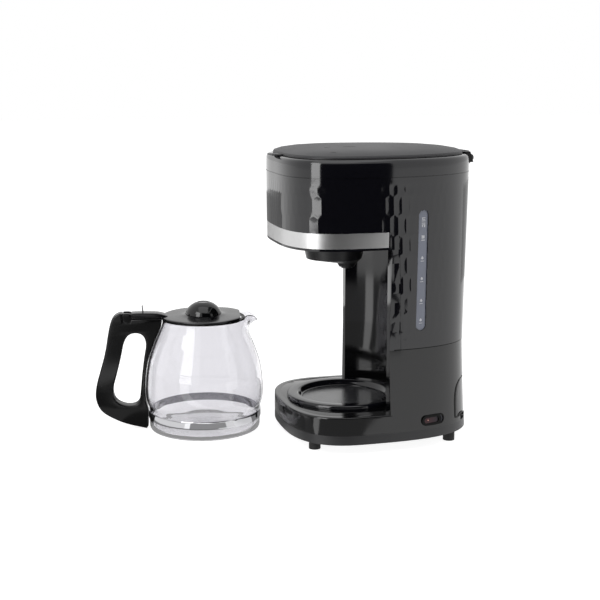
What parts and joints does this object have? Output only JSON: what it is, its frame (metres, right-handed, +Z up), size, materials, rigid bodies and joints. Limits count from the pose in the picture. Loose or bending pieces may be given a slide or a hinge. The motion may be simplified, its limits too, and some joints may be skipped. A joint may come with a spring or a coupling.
{
  "type": "drip coffee maker",
  "caption": "Drip coffee maker with an hourglass body, honeycomb relief, steel band, hinged lid, lift-out basket, rocker switch and a glass carafe beside it.",
  "frame": {"origin": "on the counter, under the axis of the warming plate", "axes": "+Z up; -Y is the front, where the carafe goes in; +X is the user's right, the side with the water window and the switch"},
  "size_m": [0.2231, 0.4179, 0.3279],
  "materials": {
    "satin_black": "satin",
    "gloss_black": "gloss",
    "foot_rubber": "matte",
    "screw_steel": "zinc plated",
    "brushed_band": "brushed round the head",
    "lid_grey": "satin",
    "pin_steel": "bright",
    "tank_clear": "translucent",
    "window_blue": "smoked clear",
    "silicone": "translucent silicone",
    "basket_grey": "satin",
    "white_plastic": "plain",
    "seal_rubber": "silicone",
    "plate_coat": "non-stick coat",
    "heater_alu": "cast",
    "rocker_red": "dark translucent red",
    "clear_glass": "clear",
    "mirror_chrome": "polished",
    "dome_clear": "smoked clear"
  },
  "bodies": {
    "machine": {"bottom_cover": "satin_black", "rubber_feet": "foot_rubber", "cover_screws": "screw_steel", "lower_housing": "gloss_black", "rear_panel": "gloss_black", "upper_housing": "gloss_black", "steel_band": "brushed_band", "top_collar": "gloss_black", "lid_hinge_pin": "pin_steel", "water_tank": "tank_clear", "level_window": "window_blue", "outlet_spout": "satin_black", "riser_tube": "silicone", "inlet_hose": "silicone", "check_valve": "silicone", "hose_clips": "pin_steel", "warming_plate": "plate_coat", "plate_ring": "gloss_black", "heater_tube": "heater_alu", "heater_bracket": "pin_steel", "thermostat": "white_plastic", "thermal_fuse": "white_plastic", "terminal_block": "white_plastic", "cord_grommet": "foot_rubber", "switch_bezel": "satin_black", "switch_body": "satin_black", "switch_pin": "pin_steel"},
    "lid": {"top_lid": "lid_grey", "lid_tab": "satin_black", "shower_plate": "satin_black"},
    "basket": {"brew_basket": "basket_grey", "valve_spring": "pin_steel"},
    "drip_valve": {"valve_stem": "white_plastic", "valve_seal": "seal_rubber"},
    "rocker": {"switch_rocker": "rocker_red"},
    "carafe": {"carafe_glass": "clear_glass", "carafe_spout": "clear_glass", "carafe_band": "mirror_chrome", "carafe_clasp_screw": "pin_steel", "carafe_handle": "gloss_black", "carafe_collar": "satin_black", "carafe_hinge_pin": "pin_steel"},
    "carafe_lid": {"carafe_lid": "gloss_black", "carafe_lid_cap": "dome_clear"}
  },
  "joints": [
    {"name": "lid_hinge", "type": "hinge", "parent": "machine", "child": "lid", "pos_m": [0, 0.1395, 0.312], "axis": [-1, 0, 0], "range_deg": [0, 95]},
    {"name": "basket_lift", "type": "slide", "parent": "machine", "child": "basket", "axis": [0, 0, 1], "range_m": [0, 0.006]},
    {"name": "drip_valve_push", "type": "slide", "parent": "basket", "child": "drip_valve", "axis": [0, 0, 1], "range_m": [0, 0.0045], "stiffness_N_per_m": 200, "springref_m": -0.004, "deforming": ["valve_spring"]},
    {"name": "rocker_tilt", "type": "hinge", "parent": "machine", "child": "rocker", "pos_m": [0.08098, 0.0733, 0.0317], "axis": [0, 0, 1], "range_deg": [0, 7]},
    {"name": "carafe_lift", "type": "slide", "parent": "machine", "child": "carafe", "axis": [0, 0, 1], "range_m": [0, 0.18]},
    {"name": "carafe_lid_hinge", "type": "hinge", "parent": "carafe", "child": "carafe_lid", "pos_m": [-0.07511, -0.23568, 0.131], "axis": [0.9848, -0.1736, 0], "range_deg": [0, 75]}
  ]
}
